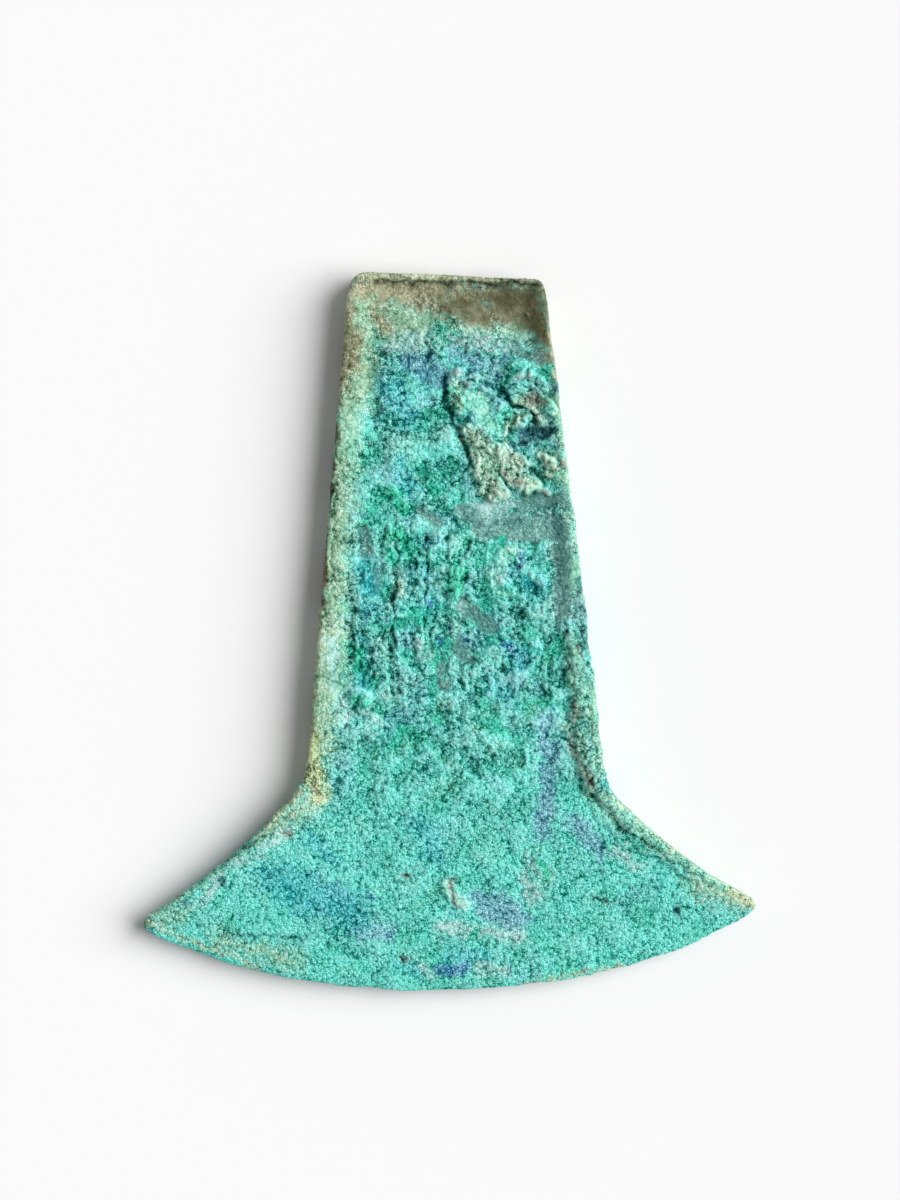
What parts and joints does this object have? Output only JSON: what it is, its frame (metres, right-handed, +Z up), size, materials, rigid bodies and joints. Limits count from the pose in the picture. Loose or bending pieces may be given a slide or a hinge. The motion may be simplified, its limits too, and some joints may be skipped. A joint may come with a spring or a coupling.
{
  "type": "bronze axe head",
  "caption": "Flat cast bronze axe head with a tapered body, low raised rims and a flared crescent blade under a rough green and blue patina.",
  "frame": {"origin": "under the middle of the outline, on the surface the axe head lies on", "axes": "+Y along the length towards the butt, +X across the blade, +Z up out of the front face"},
  "size_m": [0.0952, 0.1116, 0.006],
  "materials": {
    "patinated_bronze": "matt, grainy green and blue corrosion crust over bronze"
  },
  "bodies": {
    "root": {"axe_head": "patinated_bronze"}
  },
  "joints": []
}
